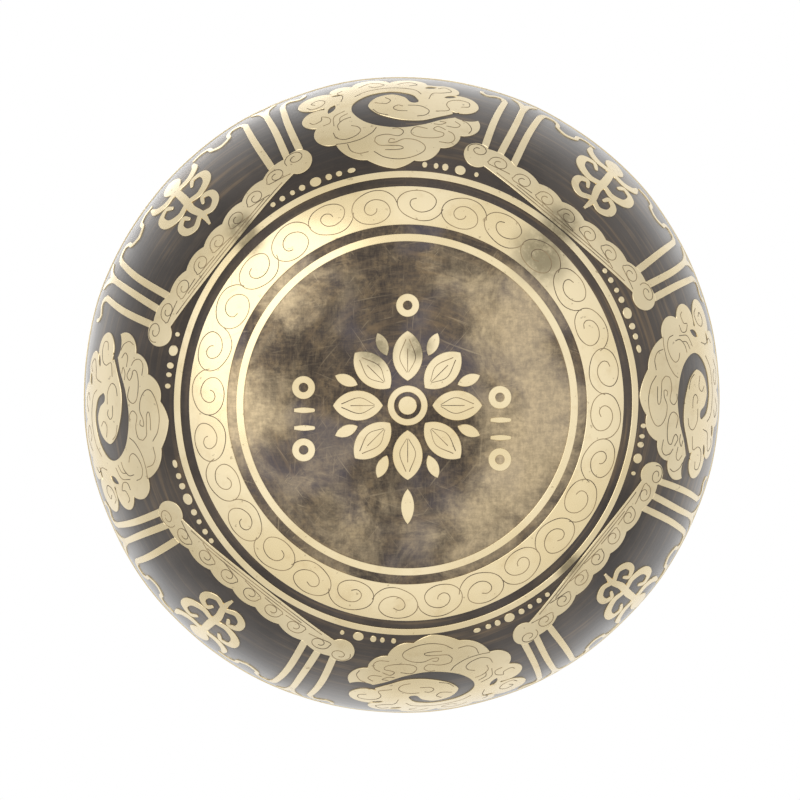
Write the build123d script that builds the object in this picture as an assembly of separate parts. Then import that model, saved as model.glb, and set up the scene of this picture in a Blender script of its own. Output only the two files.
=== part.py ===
"""Singing bowl: one wall of revolution, and the polished relief that stands on its dark etched ground.

Frame: millimetres, +Z up out of the mouth, origin in the middle of the face that the bowl rests on.
Front is -Y. A turn of 0 degrees is the front, and turns grow towards +X, then +Y.
Wall motifs are drawn in a chart: x runs round the bowl, in mm on a circle of GIRTH radius, and
climb is the length along the outer surface from the middle of the base.
"""

from build123d import *
from math import asin, cos, degrees, hypot, pi, radians, sin
import os

# Driving dimensions.
FLAT_RADIUS = 30.0  # flat face that the bowl stands on
WALL_ARC = 60.0  # radius of the arc from the flat face up to the belly
SHOULDER_ARC = 85.0  # radius of the arc that leans in from the belly to the rim
HEIGHT = 88.0
WALL = 2.8  # metal behind the etched ground
RIM_WALL = 4.2  # metal at the rim, where the wall thickens inwards
RELIEF = 0.3  # depth of the etch, so the height of the relief
LIP = 1.2  # height of the polished lip that ends the wall
LIP_ROUND = 0.45
REACH = 24.0  # how far a motif is pressed either way from its drawing plane
GIRTH = 80.0  # radius that chart x is measured on

# Worked out from them.
BELLY_RADIUS = FLAT_RADIUS + WALL_ARC
BELLY_CLIMB = FLAT_RADIUS + WALL_ARC * pi / 2
SHOULDER_TURN = asin((HEIGHT - WALL_ARC) / SHOULDER_ARC)
RIM_CLIMB = BELLY_CLIMB + SHOULDER_ARC * SHOULDER_TURN
LIP_CLIMB = RIM_CLIMB - LIP / cos(SHOULDER_TURN)  # climb of the lip's foot
CLOUD_CLIMB, PANEL_CLIMB = 86.0, 84.0  # where the drawing planes of a cloud and a panel touch the wall

# Rings and bands, as the climb of their lower and upper edges.
# The shoulder repeats the border of the base.
BASE_RING_INNER = (42.7, 44.7)
SCROLL_BAND = (47.2, 58.1)
BASE_RING_OUTER = (60.8, 62.8)
BELLY_RING = (116.4, 118.2)
SHOULDER_BAND = (120.6, 131.4)
SHOULDER_RING = (133.9, 135.7)
RIM_BAND_FOOT = 141.5

# Where the hand-drawn motifs stand: turn in degrees and climb shift in mm.
# A panel also has its tilt, in mm of climb per mm of x, and its stretch along x.
CLOUDS = {
    "front": (-3.0, -0.8),
    "right": (88.0, -1.2),
    "back": (173.6, -1.3),
    "left": (265.8, 0.3),
}
PANELS = {
    "front_right": (41.0, 0.9, 0.02, 1.0),
    "back_right": (129.5, 1.1, 0.02, 0.93),
    "back_left": (219.8, 0.9, 0.02, 1.0),
    "front_left": (311.0, 1.1, 0.04, 1.0),
}

# Edges of a cloud, anticlockwise: (start, crest, end) of each arc, in chart mm.
CLOUD_EDGE = (
    ((-8.6, 68.1), (-4.2, 65.5), (0.3, 64.4)),
    ((0.3, 64.4), (3.8, 65.3), (6.7, 67.0)),
    ((6.7, 67.0), (12.9, 68.6), (14.9, 72.0)),
    ((14.9, 72.0), (19.2, 74.1), (20.4, 77.8)),
    ((20.4, 77.8), (25.0, 81.2), (24.5, 86.4)),
    ((24.5, 86.4), (21.2, 84.8), (17.1, 86.5)),
    ((17.1, 86.5), (17.3, 87.6), (16.9, 88.6)),
    ((16.9, 88.6), (24.0, 93.0), (17.4, 98.0)),
    ((17.4, 98.0), (18.2, 102.2), (14.0, 105.0)),
    ((14.0, 105.0), (11.9, 104.2), (10.2, 104.6)),
    ((10.2, 104.6), (5.6, 109.2), (0.6, 106.4)),
    ((0.6, 106.4), (-4.2, 110.4), (-9.0, 106.0)),
    ((-9.0, 106.0), (-13.6, 106.6), (-14.3, 102.2)),
    ((-14.3, 102.2), (-23.8, 98.8), (-17.6, 93.6)),
    ((-17.6, 93.6), (-17.2, 93.1), (-17.6, 92.6)),
    ((-17.6, 92.6), (-24.2, 89.3), (-20.9, 84.5)),
    ((-20.9, 84.5), (-22.1, 79.2), (-17.0, 75.8)),
    ((-17.0, 75.8), (-14.2, 70.6), (-8.6, 68.1)),
)
# Dark hook that winds into a cloud from its right, as (x, climb, width) along its middle line.
CLOUD_HOOK = (
    (19.5, 87.6, 2.2),
    (14.6, 84.6, 1.5),
    (8.6, 81.4, 2.0),
    (1.6, 80.9, 3.7),
    (-5.2, 84.0, 4.8),
    (-8.0, 89.8, 4.6),
    (-4.6, 95.2, 3.0),
    (0.8, 97.1, 2.1),
    (5.0, 95.2, 2.6),
    (6.6, 92.4, 2.6),
)
# Small dark eyes between the lobes, as (x, climb) of the two tips, and half the width.
CLOUD_EYES = (
    ((-16.6, 89.8), (-14.4, 93.8), 0.9),
    ((-15.0, 100.6), (-11.4, 100.2), 0.6),
    ((14.6, 95.6), (18.0, 97.9), 0.7),
    ((9.6, 101.2), (12.6, 103.0), 0.9),
)

# Bracket under a panel: a scalloped band between two round ends.
BRACKET_HALF = 32.0  # x of the joint between the band and its end
BRACKET_END = 7.2  # how far the end reaches past the joint
SCALLOPS = 7
SCALLOP_RISE = 1.1
BRACKET_TOP = (69.6, 5.0)  # climb of the upper edge in the middle, and its rise to the joint
BRACKET_FOOT = (62.3, 5.9)  # the same of the lower edge

# Posts of a panel, as the x of the foot and of the top, their foot and top climb, and their widths.
POSTS_LEFT = ((-33.5, -30.9), (-28.5, -25.9), (-23.4, -21.1))
POSTS_RIGHT = ((27.0, 26.4), (32.2, 32.2), (36.6, 36.9))
POST_FOOT, POST_TOP = 72.0, 102.6
POST_WIDTHS = (2.3, 1.5)
POST_BOW = 0.35  # how far the middle of a post stands aside
# Capital on the middle post: each of its two leaves, measured from the top of the post.
CAPITAL = ((0.0, -2.0, 1.5), (0.5, 2.0, 1.6), (1.3, 4.6, 1.6), (3.0, 7.2, 1.1))
# Curls that hang from the tops of the inner and outer posts,
# towards the middle of the panel and away from it.
CURL_IN = (
    (0.0, -1.0, 1.5),
    (0.8, 2.0, 1.4),
    (3.4, 3.0, 1.3),
    (4.9, 1.0, 1.2),
    (5.2, -1.9, 1.2),
    (7.9, -3.6, 1.3),
    (10.5, -1.9, 1.2),
    (11.0, 1.2, 1.2),
    (13.4, 2.9, 1.1),
    (15.8, 2.4, 1.0),
)
CURL_OUT = (
    (0.0, -1.0, 1.5),
    (0.7, 2.0, 1.4),
    (2.3, 2.8, 1.2),
    (3.5, 1.8, 1.1),
    (4.7, 1.0, 1.1),
    (5.9, 2.0, 1.1),
    (6.3, 3.9, 1.0),
)

# Lotus sprig in the middle of a panel. Its right-hand strokes are given, and the left ones mirror them.
SPRIG_X = 2.0
SPRIG_STEM = ((0.0, 73.2, 0.9), (0.5, 77.6, 1.9), (-0.4, 83.0, 2.3), (0.0, 88.6, 2.4), (0.0, 96.0, 2.0))
SPRIG_STROKES = (
    (
        (0.4, 78.2, 1.6),
        (3.6, 76.6, 2.0),
        (6.4, 78.4, 2.4),
        (6.5, 81.6, 2.2),
        (4.1, 83.0, 1.6),
        (3.0, 81.0, 1.1),
    ),
    (
        (0.6, 86.4, 1.8),
        (4.2, 85.2, 2.4),
        (8.0, 87.6, 2.8),
        (8.3, 92.0, 2.4),
        (5.4, 93.6, 1.7),
        (3.9, 91.2, 1.2),
    ),
    ((0.6, 96.2, 2.0), (4.6, 96.0, 2.6), (7.4, 98.6, 2.3), (7.9, 102.4, 1.0)),
)
SPRIG_BUD = (96.0, 106.4, 3.0)  # climb of its foot and tip, and its half width

# Dots beside a cloud's foot, on the left and right of a bracket, as (x, half width, half height).
DOTS_LEFT = (
    (-51.2, 0.9, 0.9),
    (-47.4, 0.85, 0.9),
    (-44.3, 1.1, 1.1),
    (-39.2, 1.85, 1.45),
    (-33.6, 0.8, 0.75),
)
DOTS_RIGHT = (
    (21.2, 0.95, 0.75),
    (24.9, 1.05, 0.85),
    (28.8, 0.9, 0.8),
    (32.4, 1.15, 0.95),
    (37.3, 2.0, 1.45),
    (42.0, 1.15, 1.0),
    (45.6, 1.1, 0.85),
    (49.9, 1.4, 0.75),
)
DOT_CLIMB = 65.0

# Base rosette, with a bead in front of it and a long leaf behind it.
PETALS = 8
PETAL = (6.4, 19.4, 3.9)  # radii of a petal's foot and tip, and its half width
SEPAL = (14.0, 20.4, 1.5)  # the same of the leaf between two petals
EYE_RADIUS = 2.4
EYE_RING = (3.5, 5.2)
BEAD_Y = -26.0
TAIL = (21.6, 31.0, 1.7)

# Marks beside the rosette, as the place of the first ring.
# A mark has two rings and two dashes in a row along Y.
MARKS = {"left": (-27.0, -4.7), "right": (24.0, -2.1)}
MARK_RING = (1.2, 3.0)
MARK_RINGS = (0.0, 16.2)
MARK_DASHES = (5.9, 10.5)
DASH = (5.0, 1.5)  # length and width


def profile(climb):
    """(radius, height, slope) of the outer surface. Slope is how far its normal has turned from -Z."""
    if climb < FLAT_RADIUS:
        return climb, 0.0, 0.0
    if climb < BELLY_CLIMB:
        slope = (climb - FLAT_RADIUS) / WALL_ARC
        return FLAT_RADIUS + WALL_ARC * sin(slope), WALL_ARC * (1 - cos(slope)), slope
    lean = (climb - BELLY_CLIMB) / SHOULDER_ARC
    radius = BELLY_RADIUS - SHOULDER_ARC * (1 - cos(lean))
    return radius, WALL_ARC + SHOULDER_ARC * sin(lean), pi / 2 + lean


def section_point(climb, depth=0.0):
    """(radius, height) of the point that lies depth inside the outer surface."""
    radius, height, slope = profile(climb)
    return radius - depth * sin(slope), height + depth * cos(slope)


def wall_arcs(low, high, depth):
    """Edges of the wall's section in XZ from climb low to climb high, at a depth."""
    stops = [low] + [c for c in (FLAT_RADIUS, BELLY_CLIMB) if low < c < high] + [high]
    edges = []
    for start, end in zip(stops, stops[1:]):
        ends = [(x, 0, z) for x, z in (section_point(start, depth), section_point(end, depth))]
        x, z = section_point((start + end) / 2, depth)
        flat = end <= FLAT_RADIUS
        edges.append(Line(*ends) if flat else ThreePointArc(ends[0], (x, 0, z), ends[1]))
    return edges


def ring(low, high, depth=RELIEF):
    """Solid of revolution of the relief layer between two climbs."""
    outer = wall_arcs(low, high, 0)
    inner = wall_arcs(low, high, depth)
    ends = [Line(outer[0] @ 0, inner[0] @ 0), Line(outer[-1] @ 1, inner[-1] @ 1)]
    return revolve(make_face(outer + inner + ends), Axis.Z)


def bowl_body():
    """The wall up to the foot of the lip, with its dark ground outside and its thickened rim."""
    ground = wall_arcs(0, LIP_CLIMB, RELIEF)
    depth = RELIEF + WALL
    inner = wall_arcs(0, BELLY_CLIMB, depth)
    rim_x, rim_z = section_point(LIP_CLIMB, RELIEF + RIM_WALL)
    belly = inner[-1] @ 1
    inward = belly.X - rim_x
    radius = ((rim_z - belly.Z) ** 2 + inward**2) / (2 * inward)
    half = asin((rim_z - belly.Z) / radius) / 2
    middle = (belly.X - radius * (1 - cos(half)), 0, belly.Z + radius * sin(half))
    shoulder = ThreePointArc(belly, middle, (rim_x, 0, rim_z))
    closing = [Line(ground[0] @ 0, inner[0] @ 0), Line(ground[-1] @ 1, shoulder @ 1)]
    return revolve(make_face(ground + inner + [shoulder] + closing), Axis.Z)


def rim_lip():
    """Polished lip on top of the wall, flush with the relief outside, with rounded edges."""
    outer_x, low_z = section_point(LIP_CLIMB)
    inner_x, inner_z = section_point(LIP_CLIMB, RELIEF + RIM_WALL)
    outer = ((outer_x, 0, low_z), (outer_x, 0, HEIGHT))
    inner = ((inner_x, 0, HEIGHT), (inner_x, 0, inner_z))
    face = make_face(Polyline(*outer, *inner, close=True))
    corners = face.vertices().sort_by(Axis.Z)[-2:]
    return revolve(fillet(corners, LIP_ROUND), Axis.Z)


class Chart:
    """Flat drawing plane that touches the wall, for motifs drawn round that point."""

    def __init__(self, turn, climb, shift=0.0, tilt=0.0, stretch=1.0):
        self.turn, self.shift, self.tilt, self.stretch = turn, shift, tilt, stretch
        radius, height, slope = profile(climb)
        heading = radians(turn - 90)
        normal = (cos(heading) * sin(slope), sin(heading) * sin(slope), -cos(slope))
        origin = (radius * cos(heading), radius * sin(heading), height)
        self.plane = Plane(origin, x_dir=(-sin(heading), cos(heading), 0), z_dir=normal)

    def point(self, x, climb):
        """Where a chart point falls on the drawing plane."""
        radius, height, _ = profile(climb + self.shift + self.tilt * x)
        heading = radians(self.turn - 90) + x * self.stretch / GIRTH
        place = self.plane.to_local_coords(Vector(radius * cos(heading), radius * sin(heading), height))
        return place.X, place.Y

    def arc(self, *places):
        return ThreePointArc(*[self.point(*place) for place in places])

    def curve(self, places):
        return Spline(*[self.point(*place) for place in places])

    def leaf(self, start, end, half_width):
        """Pointed leaf between two chart points."""
        middle = ((start[0] + end[0]) / 2, (start[1] + end[1]) / 2)
        along = (end[0] - start[0], end[1] - start[1])
        reach = half_width / hypot(*along)
        crests = [(middle[0] - k * along[1] * reach, middle[1] + k * along[0] * reach) for k in (1, -1)]
        return make_face([self.arc(start, crest, end) for crest in crests])

    def ribbon(self, places):
        """Strip with a round tip along chart places, each an (x, climb, width)."""
        left, right = [], []
        for i, (x, climb, width) in enumerate(places):
            before, after = places[max(i - 1, 0)], places[min(i + 1, len(places) - 1)]
            along = (after[0] - before[0], after[1] - before[1])
            reach = width / 2 / hypot(*along)
            left.append((x - along[1] * reach, climb + along[0] * reach))
            right.append((x + along[1] * reach, climb - along[0] * reach))
        last, before = places[-1], places[-2]
        along = (last[0] - before[0], last[1] - before[1])
        reach = last[2] / 2 / hypot(*along)
        tip = (last[0] + along[0] * reach, last[1] + along[1] * reach)
        foot = Line(self.point(*left[0]), self.point(*right[0]))
        return make_face([self.curve(left), self.curve(right), foot, self.arc(left[-1], tip, right[-1])])

    def stamp(self, shape, layer):
        """The part of the relief layer that a flat shape covers, seen along the plane's normal."""
        return (layer & extrude(self.plane * shape, amount=REACH, both=True)).solids()


def joined(shapes):
    """One flat shape from several that touch or overlap."""
    total = shapes[0]
    for shape in shapes[1:]:
        total += shape
    return total


def cloud_shape(chart):
    shape = make_face([chart.arc(*places) for places in CLOUD_EDGE])
    shape -= chart.ribbon(CLOUD_HOOK)
    for start, end, half_width in CLOUD_EYES:
        shape -= chart.leaf(start, end, half_width)
    return shape


def bracket_shape(chart):
    def sag(x, middle, rise):
        return middle + rise * (x / BRACKET_HALF) ** 2

    edges = []
    step = 2 * BRACKET_HALF / SCALLOPS
    for i in range(SCALLOPS):
        start = -BRACKET_HALF + i * step
        middle = start + step / 2
        end = start + step
        crest = (middle, sag(middle, *BRACKET_TOP) + SCALLOP_RISE)
        edges.append(chart.arc((start, sag(start, *BRACKET_TOP)), crest, (end, sag(end, *BRACKET_TOP))))
    high, low = sag(BRACKET_HALF, *BRACKET_TOP), sag(BRACKET_HALF, *BRACKET_FOOT)
    for side in (-1, 1):
        joint, tip = side * BRACKET_HALF, side * (BRACKET_HALF + BRACKET_END)
        edges.append(chart.arc((joint, high), (tip, (high + low) / 2), (joint, low)))
    foot = [side * BRACKET_HALF * part for side, part in ((-1, 1), (-1, 0.5), (1, 0), (1, 0.5), (1, 1))]
    edges.append(chart.curve([(x, sag(x, *BRACKET_FOOT)) for x in foot]))
    return make_face(edges)


def posts_shape(chart, posts, bracket):
    """Three posts that stand on the bracket, with the capital of the middle one."""
    shapes = []
    for i, (foot, top) in enumerate(posts):
        bow = POST_BOW if i % 2 else -POST_BOW
        low = (foot, POST_FOOT, POST_WIDTHS[0])
        half = ((foot + top) / 2 + bow, (POST_FOOT + POST_TOP) / 2, sum(POST_WIDTHS) / 2)
        high = (top, POST_TOP, POST_WIDTHS[1])
        shapes.append(chart.ribbon([low, half, high]))
    for side in (-1, 1):
        top = posts[1][1]
        capital = [(top + side * x, POST_TOP + climb, width) for x, climb, width in CAPITAL]
        shapes.append(chart.ribbon(capital))
    return joined(shapes) - bracket


def curls_shape(chart, posts):
    """The two curls of the posts on one side of a panel."""
    inward = 1 if posts[0][0] < 0 else -1
    outer, inner = (posts[0][1], posts[2][1]) if inward > 0 else (posts[2][1], posts[0][1])
    hung = [(inner, inward, CURL_IN), (outer, -inward, CURL_OUT)]
    return [
        chart.ribbon([(top + way * x, POST_TOP + climb, width) for x, climb, width in curl])
        for top, way, curl in hung
    ]


def sprig_shape(chart):
    foot, tip, half_width = SPRIG_BUD
    shapes = [chart.ribbon([(SPRIG_X + x, climb, width) for x, climb, width in SPRIG_STEM])]
    shapes.append(chart.leaf((SPRIG_X, foot), (SPRIG_X, tip), half_width))
    for side in (-1, 1):
        for stroke in SPRIG_STROKES:
            places = [(SPRIG_X + side * x, climb, width) for x, climb, width in stroke]
            shapes.append(chart.ribbon(places))
    return joined(shapes)


def dots_shapes(chart, dots):
    return [Pos(*chart.point(x, DOT_CLIMB)) * Ellipse(*size) for x, *size in dots]


def stamp_base(shape, layer):
    """Relief on the base, from a flat shape seen from above."""
    return (layer & extrude(shape, amount=5)).solids()


def flat_leaf(start, end, half_width):
    """Pointed leaf along Y on the base, between two radii."""
    middle = (start + end) / 2
    crests = [(side * half_width, middle) for side in (-1, 1)]
    return make_face([ThreePointArc((0, start), crest, (0, end)) for crest in crests])


def base_rosette(layer):
    """Lotus rosette of petals round an eye, with a narrow leaf between each two petals."""
    shapes = [Circle(EYE_RADIUS), Circle(EYE_RING[1]) - Circle(EYE_RING[0])]
    for i in range(PETALS):
        shapes.append(Rot(0, 0, 360 / PETALS * i) * flat_leaf(*PETAL))
        shapes.append(Rot(0, 0, 360 / PETALS * (i + 0.5)) * flat_leaf(*SEPAL))
    shapes += [Pos(0, BEAD_Y) * (Circle(MARK_RING[1]) - Circle(MARK_RING[0])), flat_leaf(*TAIL)]
    return [solid for shape in shapes for solid in stamp_base(shape, layer)]


def base_mark(x, y, layer):
    """Two small rings with two dashes between them."""
    shapes = [Pos(x, y + gap) * (Circle(MARK_RING[1]) - Circle(MARK_RING[0])) for gap in MARK_RINGS]
    shapes += [Pos(x, y + gap) * SlotOverall(*DASH) for gap in MARK_DASHES]
    return [solid for shape in shapes for solid in stamp_base(shape, layer)]


def write(name, solids):
    export_step(Compound(children=list(solids)), f"parts/{name}.step")


def write_panel(name, place, layer):
    turn, shift, tilt, stretch = place
    chart = Chart(turn, PANEL_CLIMB, shift, tilt, stretch)
    bracket = bracket_shape(chart)
    write(f"bracket_{name}", chart.stamp(bracket, layer))
    write(f"sprig_{name}", chart.stamp(sprig_shape(chart), layer))
    for side, posts in (("left", POSTS_LEFT), ("right", POSTS_RIGHT)):
        standing = posts_shape(chart, posts, bracket)
        write(f"posts_{name}_{side}", chart.stamp(standing, layer))
        curls = [curl - standing for curl in curls_shape(chart, posts)]
        write(f"curls_{name}_{side}", [solid for curl in curls for solid in chart.stamp(curl, layer)])
    for side, dots in (("left", DOTS_LEFT), ("right", DOTS_RIGHT)):
        middle = dots[len(dots) // 2][0]
        row = Chart(turn + degrees(middle * stretch / GIRTH), DOT_CLIMB, stretch=stretch)
        moved = [(x - middle, *size) for x, *size in dots]
        shapes = dots_shapes(row, moved)
        write(f"dots_{name}_{side}", [solid for shape in shapes for solid in row.stamp(shape, layer)])


def main():
    os.makedirs("parts", exist_ok=True)
    write("bowl_body", bowl_body().solids())
    write("rim_lip", rim_lip().solids())
    rings = {
        "base_ring_inner": BASE_RING_INNER,
        "scroll_band": SCROLL_BAND,
        "base_ring_outer": BASE_RING_OUTER,
        "belly_ring": BELLY_RING,
        "shoulder_band": SHOULDER_BAND,
        "shoulder_ring": SHOULDER_RING,
        "rim_band": (RIM_BAND_FOOT, LIP_CLIMB),
    }
    for name, (low, high) in rings.items():
        write(name, ring(low, high).solids())
    base_layer = ring(0, BASE_RING_INNER[0])
    write("base_rosette", base_rosette(base_layer))
    for name, place in MARKS.items():
        write(f"base_mark_{name}", base_mark(*place, base_layer))
    layer = ring(BASE_RING_OUTER[1], BELLY_RING[0])
    for name, (turn, shift) in CLOUDS.items():
        chart = Chart(turn, CLOUD_CLIMB, shift)
        write(f"cloud_{name}", chart.stamp(cloud_shape(chart), layer))
    for name, place in PANELS.items():
        write_panel(name, place, layer)


main()
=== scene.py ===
"""Singing bowl: the visible model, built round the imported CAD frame.

Lengths are millimetres until a mesh is made. A place on the outside is (turn, climb, depth). Turn is the
angle round the bowl from the front, -Y, towards +X. Climb is the length along the outer surface from the
middle of the base. Depth is how far inside that surface it lies. Motifs are drawn in charts, where x runs
round the bowl on a circle of radius GIRTH and y is the climb.
"""

import math
import random

import bpy
import numpy as np
from mathutils import Matrix, Vector
from mathutils.geometry import delaunay_2d_cdt


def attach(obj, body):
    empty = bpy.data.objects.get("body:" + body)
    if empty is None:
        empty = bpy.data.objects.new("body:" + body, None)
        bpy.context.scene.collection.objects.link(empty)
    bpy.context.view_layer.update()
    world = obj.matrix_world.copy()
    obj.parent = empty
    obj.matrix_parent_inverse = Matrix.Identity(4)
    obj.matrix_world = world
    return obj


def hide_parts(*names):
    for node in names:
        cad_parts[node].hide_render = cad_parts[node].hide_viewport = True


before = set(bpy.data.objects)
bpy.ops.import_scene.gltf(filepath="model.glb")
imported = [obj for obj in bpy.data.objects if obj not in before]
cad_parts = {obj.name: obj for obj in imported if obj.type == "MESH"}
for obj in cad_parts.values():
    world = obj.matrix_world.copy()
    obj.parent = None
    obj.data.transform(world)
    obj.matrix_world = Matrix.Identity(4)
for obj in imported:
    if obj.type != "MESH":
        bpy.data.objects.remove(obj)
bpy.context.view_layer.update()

MM = 0.001

# The wall's outline.
FLAT_RADIUS, WALL_ARC, SHOULDER_ARC, HEIGHT = 30.0, 60.0, 85.0, 88.0
WALL, RIM_WALL, RELIEF, LIP = 2.8, 4.2, 0.3, 1.2
BELLY_CLIMB = FLAT_RADIUS + WALL_ARC * math.pi / 2
LEAN = math.asin((HEIGHT - WALL_ARC) / SHOULDER_ARC)
RIM_CLIMB = BELLY_CLIMB + SHOULDER_ARC * LEAN
LIP_CLIMB = RIM_CLIMB - LIP / math.cos(LEAN)
GIRTH = 80.0

RINGS = {
    "base_ring_inner": (42.7, 44.7),
    "scroll_band": (47.2, 58.1),
    "base_ring_outer": (60.8, 62.8),
    "belly_ring": (116.4, 118.2),
    "shoulder_band": (120.6, 131.4),
    "shoulder_ring": (133.9, 135.7),
    "rim_band": (141.5, LIP_CLIMB),
}
# Each cloud's turn in degrees, and how far it is shifted up.
CLOUDS = {"front": (-3.0, -0.8), "right": (88.0, -1.2), "back": (173.6, -1.3), "left": (265.8, 0.3)}
# Each panel's turn in degrees, its shift up, its tilt and its stretch round the bowl.
PANELS = {
    "front_right": (41.0, 0.9, 0.02, 1.0),
    "back_right": (129.5, 1.1, 0.02, 0.93),
    "back_left": (219.8, 0.9, 0.02, 1.0),
    "front_left": (311.0, 1.1, 0.04, 1.0),
}
CLOUD_EDGE = (
    ((-8.6, 68.1), (-4.2, 65.5), (0.3, 64.4)),
    ((0.3, 64.4), (3.8, 65.3), (6.7, 67.0)),
    ((6.7, 67.0), (12.9, 68.6), (14.9, 72.0)),
    ((14.9, 72.0), (19.2, 74.1), (20.4, 77.8)),
    ((20.4, 77.8), (25.0, 81.2), (24.5, 86.4)),
    ((24.5, 86.4), (21.2, 84.8), (17.1, 86.5)),
    ((17.1, 86.5), (17.3, 87.6), (16.9, 88.6)),
    ((16.9, 88.6), (24.0, 93.0), (17.4, 98.0)),
    ((17.4, 98.0), (18.2, 102.2), (14.0, 105.0)),
    ((14.0, 105.0), (11.9, 104.2), (10.2, 104.6)),
    ((10.2, 104.6), (5.6, 109.2), (0.6, 106.4)),
    ((0.6, 106.4), (-4.2, 110.4), (-9.0, 106.0)),
    ((-9.0, 106.0), (-13.6, 106.6), (-14.3, 102.2)),
    ((-14.3, 102.2), (-23.8, 98.8), (-17.6, 93.6)),
    ((-17.6, 93.6), (-17.2, 93.1), (-17.6, 92.6)),
    ((-17.6, 92.6), (-24.2, 89.3), (-20.9, 84.5)),
    ((-20.9, 84.5), (-22.1, 79.2), (-17.0, 75.8)),
    ((-17.0, 75.8), (-14.2, 70.6), (-8.6, 68.1)),
)
CLOUD_HOOK = (
    (19.5, 87.6, 2.2),
    (14.6, 84.6, 1.5),
    (8.6, 81.4, 2.0),
    (1.6, 80.9, 3.7),
    (-5.2, 84.0, 4.8),
    (-8.0, 89.8, 4.6),
    (-4.6, 95.2, 3.0),
    (0.8, 97.1, 2.1),
    (5.0, 95.2, 2.6),
    (6.6, 92.4, 2.6),
)
CLOUD_EYES = (
    ((-16.6, 89.8), (-14.4, 93.8), 0.9),
    ((-15.0, 100.6), (-11.4, 100.2), 0.6),
    ((14.6, 95.6), (18.0, 97.9), 0.7),
    ((9.6, 101.2), (12.6, 103.0), 0.9),
)
# Scribed swirls in a cloud, each a smooth line through chart points.
CLOUD_SCRIBES = (
    ((-6.0, 70.6), (-3.1, 68.4), (1.4, 67.4), (6.0, 68.1), (9.6, 70.1), (9.9, 72.2), (7.3, 74.0), (3.7, 74.4),
     (1.0, 73.3), (-1.1, 73.3), (-0.6, 74.6), (0.8, 74.3)),
    ((-5.4, 74.2), (-4.6, 75.9), (-1.5, 76.4), (2.0, 75.6), (3.5, 77.2), (2.2, 78.6), (0.3, 78.6)),
    ((-5.4, 74.2), (-4.0, 72.6), (-1.0, 72.2), (2.5, 71.8), (3.2, 71.0), (1.0, 70.6), (-2.5, 70.8)),
    ((-16.8, 80.6), (-16.3, 78.3), (-14.0, 76.9), (-10.9, 77.4), (-9.0, 79.0), (-9.5, 80.8), (-11.3, 81.9)),
    ((-17.0, 75.9), (-13.6, 75.4), (-9.5, 75.8), (-5.9, 77.6), (-4.3, 79.6)),
    ((-13.6, 74.9), (-13.1, 72.4), (-10.9, 70.8), (-7.7, 70.8)),
    ((-16.1, 83.3), (-15.4, 87.4), (-12.2, 89.2)),
    ((-15.0, 81.0), (-15.0, 83.3), (-13.1, 85.1), (-10.9, 85.6)),
    ((-14.2, 84.2), (-13.8, 86.4), (-11.6, 87.6)),
    ((-22.2, 88.0), (-21.3, 86.7), (-19.0, 87.3), (-18.6, 89.0), (-16.7, 87.4), (-16.9, 85.2), (-19.0, 84.7)),
    ((-21.6, 97.0), (-20.4, 94.9), (-17.7, 95.4), (-16.6, 98.0), (-18.2, 100.0), (-20.2, 98.9),
     (-19.3, 97.2)),
    ((10.5, 78.8), (7.3, 79.3), (5.7, 77.4), (6.4, 75.9), (8.7, 75.2), (12.3, 75.3), (15.0, 76.3),
     (15.3, 77.7),
     (13.3, 78.2), (12.3, 79.0), (13.6, 80.2), (15.8, 79.2)),
    ((14.2, 74.1), (17.3, 74.2), (18.8, 75.8), (18.2, 77.9), (16.6, 78.8)),
    ((12.2, 81.2), (14.1, 81.2), (15.7, 82.4), (13.9, 82.7)),
    ((15.9, 80.9), (18.7, 80.9), (19.8, 82.3), (18.2, 83.6)),
    ((22.6, 79.4), (23.2, 81.5), (21.9, 83.8), (20.2, 84.6)),
    ((5.0, 89.5), (8.2, 89.5), (10.5, 87.9), (10.7, 86.3), (9.6, 84.9), (7.5, 84.2)),
    ((4.8, 86.5), (1.9, 86.8), (1.0, 88.2), (2.3, 89.5), (3.6, 89.0)),
    ((-4.6, 88.0), (-3.2, 85.8), (-0.6, 84.6)),
    ((-3.9, 91.4), (-1.0, 90.4), (0.4, 92.2), (-0.9, 94.0)),
    ((12.6, 87.4), (16.2, 88.8), (15.4, 91.6), (16.2, 94.0), (18.7, 95.4), (21.2, 94.9),
     (21.4, 92.6), (19.4, 91.6)),
    ((10.6, 93.8), (11.6, 97.6), (14.0, 98.6), (16.4, 100.6), (14.8, 103.2), (13.0, 101.8)),
    ((-8.8, 96.9), (-5.0, 100.0), (1.0, 101.2), (6.6, 99.6), (8.6, 96.6)),
    ((-7.4, 104.0), (-4.0, 107.2), (-0.8, 104.6), (-3.2, 102.6), (-4.8, 104.2)),
    ((2.6, 104.4), (5.4, 106.6), (7.6, 104.2), (5.6, 102.8)),
    ((-11.6, 103.6), (-13.0, 101.8), (-11.8, 98.6), (-12.6, 95.0)),
)

BRACKET_HALF, BRACKET_END = 32.0, 7.2
SCALLOPS, SCALLOP_RISE = 7, 1.1
BRACKET_TOP, BRACKET_FOOT = (69.6, 5.0), (62.3, 5.9)
POSTS = {
    "left": ((-33.5, -30.9), (-28.5, -25.9), (-23.4, -21.1)),
    "right": ((27.0, 26.4), (32.2, 32.2), (36.6, 36.9)),
}
POST_FOOT, POST_TOP, POST_WIDTHS, POST_BOW = 72.0, 102.6, (2.3, 1.5), 0.35
CAPITAL = ((0.0, -2.0, 1.5), (0.5, 2.0, 1.6), (1.3, 4.6, 1.6), (3.0, 7.2, 1.1))
CURL_IN = (
    (0.0, -1.0, 1.5),
    (0.8, 2.0, 1.4),
    (3.4, 3.0, 1.3),
    (4.9, 1.0, 1.2),
    (5.2, -1.9, 1.2),
    (7.9, -3.6, 1.3),
    (10.5, -1.9, 1.2),
    (11.0, 1.2, 1.2),
    (13.4, 2.9, 1.1),
    (15.8, 2.4, 1.0),
)
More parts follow.
